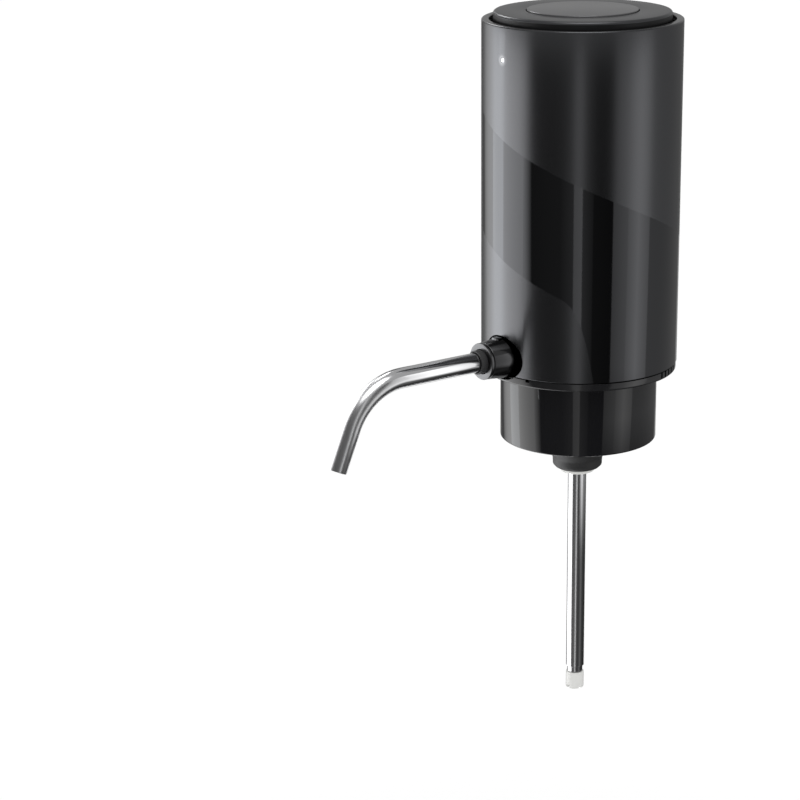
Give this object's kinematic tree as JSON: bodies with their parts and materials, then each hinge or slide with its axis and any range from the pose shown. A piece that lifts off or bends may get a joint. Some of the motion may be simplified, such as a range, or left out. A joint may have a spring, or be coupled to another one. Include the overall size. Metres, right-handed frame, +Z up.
{
  "type": "electric wine aerator",
  "caption": "Battery-driven wine aerator and dispenser for a bottle neck: press-plate cylinder, ribbed stopper, telescopic straw and a swivelling bent spout.",
  "frame": {"origin": "on the body's axis, where the lip of the bottle meets the underside of the stopper's flange", "axes": "+Z up out of the bottle, -Y towards the spout and the indicator light, +X to the right when seen from the spout's side"},
  "size_m": [0.0628, 0.1287, 0.227],
  "materials": {
    "satin_gunmetal": "satin gunmetal lacquer",
    "satin_grey": "satin metallic",
    "gloss_black": "high gloss",
    "polished_steel": "mirror polished stainless steel",
    "black_silicone": "matte food-grade silicone",
    "clear_silicone": "translucent silicone hose",
    "black_plastic": "moulded",
    "white_plastic": "moulded",
    "green_board": "solder mask",
    "led_lens": "clear light guide",
    "cell_wrap": "shrink-wrapped cell",
    "zinc_steel": "zinc plated",
    "soft_iron": "laminated iron with steel shaft",
    "ferrite": "sintered ferrite",
    "brass": "turned"
  },
  "bodies": {
    "housing": {"outer_shell": "satin_gunmetal", "led_light_pipe": "led_lens", "base_cover": "gloss_black", "collar": "gloss_black", "bottle_stopper": "black_silicone", "stopper_core": "white_plastic", "core_o_ring": "black_silicone", "straw_upper_tube": "polished_steel", "manifold": "white_plastic", "wine_hose": "clear_silicone", "air_hose": "clear_silicone", "spout_socket": "black_plastic", "inner_frame": "black_plastic", "battery_cell": "cell_wrap", "pump_head": "black_plastic", "valve_plate": "white_plastic", "pump_diaphragm": "black_silicone", "wobble_plate": "white_plastic", "pump_bracket": "black_plastic", "motor_can": "zinc_steel", "motor_end_cap": "white_plastic", "motor_magnet_1": "ferrite", "motor_magnet_2": "ferrite", "main_board": "green_board", "tact_switch": "black_plastic", "indicator_led": "led_lens", "charge_board": "green_board", "usb_socket": "zinc_steel", "top_deck": "black_plastic", "button_spring": "zinc_steel", "base_screw_1": "zinc_steel", "base_screw_2": "zinc_steel", "base_screw_3": "zinc_steel", "collar_screw_1": "zinc_steel", "collar_screw_2": "zinc_steel", "collar_screw_3": "zinc_steel", "deck_screw_1": "zinc_steel", "deck_screw_2": "zinc_steel", "deck_screw_3": "zinc_steel", "pump_screw_1": "zinc_steel", "pump_screw_2": "zinc_steel", "pump_screw_3": "zinc_steel"},
    "button": {"button_plate": "satin_grey", "button_disc": "satin_grey"},
    "plunger": {"switch_plunger": "white_plastic"},
    "spout": {"spout_connector": "gloss_black", "spout_face_ring": "polished_steel", "spout_seal_sleeve": "black_silicone", "spout_tube": "polished_steel", "connector_o_ring": "black_silicone"},
    "rotor": {"motor_rotor": "soft_iron", "crank_wheel": "brass"},
    "straw_middle": {"straw_middle_tube": "polished_steel"},
    "straw_lower": {"straw_lower_tube": "polished_steel", "straw_tip": "white_plastic"}
  },
  "joints": [
    {"name": "button_press", "type": "slide", "parent": "housing", "child": "button", "axis": [0, 0, -1], "range_m": [0, 0.0006], "stiffness_N_per_m": 2000, "springref_m": -0.0006, "deforming": ["button_spring"]},
    {"name": "switch_travel", "type": "slide", "parent": "housing", "child": "plunger", "axis": [0, 0, -1], "range_m": [0, 0.0006]},
    {"name": "spout_swivel", "type": "hinge", "parent": "housing", "child": "spout", "pos_m": [0, -0.0295, 0.012], "axis": [0, -1, 0], "range_deg": [-90, 90]},
    {"name": "rotor_spin", "type": "hinge", "parent": "housing", "child": "rotor", "pos_m": [-0.01378, 0, 0.065], "axis": [0, 0, 1], "continuous": true},
    {"name": "straw_middle_slide", "type": "slide", "parent": "housing", "child": "straw_middle", "axis": [0, 0, -1], "range_m": [0, 0.088]},
    {"name": "straw_lower_slide", "type": "slide", "parent": "straw_middle", "child": "straw_lower", "axis": [0, 0, -1], "range_m": [0, 0.088]}
  ],
  "couplings": [
    {"joint": "switch_travel", "follows": "button_press", "ratio": 1}
  ]
}
